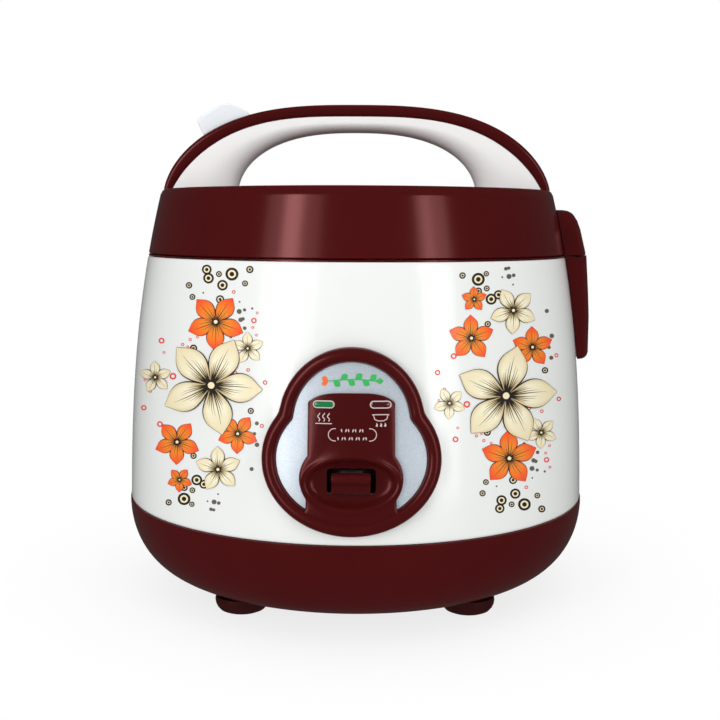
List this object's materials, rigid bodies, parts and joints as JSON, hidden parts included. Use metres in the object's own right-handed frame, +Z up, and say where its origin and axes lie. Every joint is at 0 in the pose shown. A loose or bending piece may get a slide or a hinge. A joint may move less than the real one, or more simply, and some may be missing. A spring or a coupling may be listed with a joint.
{
  "type": "rice cooker",
  "caption": "Jar-type rice cooker with a round white body, hinged dark red lid with an arched carrying handle, and a front panel with a cook lever.",
  "frame": {"origin": "on the floor, under the axis of the round body", "axes": "+Z up; the control panel and cook lever face -Y; the lid's hinge is at +X and its latch at -X"},
  "size_m": [0.2406, 0.2508, 0.2525],
  "materials": {
    "burgundy_plastic": "glossy moulded",
    "white_enamel": "glossy enamel with printed flowers",
    "white_plastic": "satin moulded",
    "pale_button": "satin moulded",
    "silver_blue": "fine metallic lacquer",
    "green_lens": "clear glossy",
    "dark_lens": "clear glossy",
    "black_plastic": "matt",
    "brushed_aluminium": "fine turned",
    "galvanised_steel": "mill finish",
    "bright_steel": "bright",
    "non_stick": "dark non-stick coating",
    "brass": "bright",
    "clear_silicone": "matt translucent",
    "foot_rubber": "matt",
    "circuit_green": "matt",
    "wire_brown": "matt",
    "wire_blue": "matt",
    "heater_band": "matt",
    "fuse_sleeve": "woven sleeve"
  },
  "bodies": {
    "housing": {"base_shell": "burgundy_plastic", "bottom_cover": "burgundy_plastic", "cover_screw_1": "bright_steel", "cover_screw_2": "bright_steel", "cover_screw_3": "bright_steel", "foot_front_left": "foot_rubber", "foot_front_right": "foot_rubber", "foot_rear_left": "foot_rubber", "foot_rear_right": "foot_rubber", "outer_shell": "white_enamel", "upper_ring": "burgundy_plastic", "inner_liner": "galvanised_steel", "keep_warm_heater": "heater_band", "thermal_fuse": "fuse_sleeve", "heating_plate": "brushed_aluminium", "heating_element": "bright_steel", "plate_leg_1": "galvanised_steel", "plate_leg_2": "galvanised_steel", "plate_leg_3": "galvanised_steel", "thermostat_cup": "galvanised_steel", "lever_pivot_pin": "bright_steel", "lever_bracket": "galvanised_steel", "micro_switch": "black_plastic", "panel_frame": "burgundy_plastic", "panel_fascia": "silver_blue", "panel_centre": "burgundy_plastic", "warm_lamp_lens": "green_lens", "cook_lamp_lens": "dark_lens", "lamp_board": "circuit_green", "power_inlet": "black_plastic", "inlet_pin_live": "brass", "inlet_pin_neutral": "brass", "terminal_block": "white_plastic", "wire_live": "wire_brown", "wire_neutral": "wire_blue", "hinge_tower": "galvanised_steel", "hinge_spring": "bright_steel"},
    "lid": {"lid_outer_cover": "burgundy_plastic", "lid_inner_liner": "white_plastic", "inner_lid_plate": "brushed_aluminium", "lid_gasket": "clear_silicone", "plate_grommet": "clear_silicone", "steam_vent_body": "white_plastic", "handle_rim": "burgundy_plastic", "handle_web": "white_plastic", "latch_bracket": "galvanised_steel", "hinge_pin": "bright_steel", "hinge_cover": "burgundy_plastic"},
    "pot": {"inner_pot": "non_stick"},
    "thermostat": {"thermostat_cap": "brushed_aluminium", "thermostat_spring": "bright_steel"},
    "plunger": {"magnet_plunger": "bright_steel"},
    "lever": {"rocker_arm": "galvanised_steel", "cook_lever_knob": "burgundy_plastic"},
    "button": {"release_button": "pale_button"},
    "rod": {"release_rod": "white_plastic"},
    "latch": {"latch_lever": "white_plastic"},
    "dew_cup": {"dew_collector": "burgundy_plastic"},
    "vent_cap": {"steam_vent_cap": "white_plastic"}
  },
  "joints": [
    {"name": "lid_hinge", "type": "hinge", "parent": "housing", "child": "lid", "pos_m": [0.1135, 0, 0.181], "axis": [0, 1, 0], "range_deg": [0, 80]},
    {"name": "button_press", "type": "hinge", "parent": "lid", "child": "button", "pos_m": [-0.056, 0, 0.246], "axis": [0, 1, 0], "range_deg": [-6, 0], "stiffness_Nm_per_rad": 0.35, "springref_deg": 5.73},
    {"name": "rod_slide", "type": "slide", "parent": "lid", "child": "rod", "axis": [0, 0, 1], "range_m": [-0.0024, 0]},
    {"name": "latch_rock", "type": "hinge", "parent": "lid", "child": "latch", "pos_m": [-0.0965, 0, 0.189], "axis": [0, 1, 0], "range_deg": [0, 8]},
    {"name": "pot_turn", "type": "hinge", "parent": "housing", "child": "pot", "pos_m": [0, 0, 0.062], "axis": [0, 0, 1], "continuous": true},
    {"name": "thermostat_press", "type": "slide", "parent": "housing", "child": "thermostat", "axis": [0, 0, 1], "range_m": [-0.003, 0], "stiffness_N_per_m": 600, "springref_m": 0.002, "deforming": ["thermostat_spring"]},
    {"name": "cook_lever", "type": "hinge", "parent": "housing", "child": "lever", "pos_m": [-0.0017, -0.034, 0.036], "axis": [1, 0, 0], "range_deg": [0, 3.4], "stiffness_Nm_per_rad": 2, "springref_deg": -3.44},
    {"name": "plunger_slide", "type": "slide", "parent": "housing", "child": "plunger", "axis": [0, 0, 1], "range_m": [0, 0.0021]},
    {"name": "dew_cup_pull", "type": "slide", "parent": "housing", "child": "dew_cup", "axis": [1, 0, 0], "range_m": [0, 0.04]},
    {"name": "vent_cap_lift", "type": "slide", "parent": "lid", "child": "vent_cap", "axis": [0, 0, 1], "range_m": [0, 0.015]}
  ],
  "couplings": [
    {"joint": "rod_slide", "follows": "button_press", "m_per_rad": 0.0225},
    {"joint": "latch_rock", "follows": "button_press", "ratio": -1.3333},
    {"joint": "plunger_slide", "follows": "cook_lever", "m_per_rad": 0.034}
  ]
}
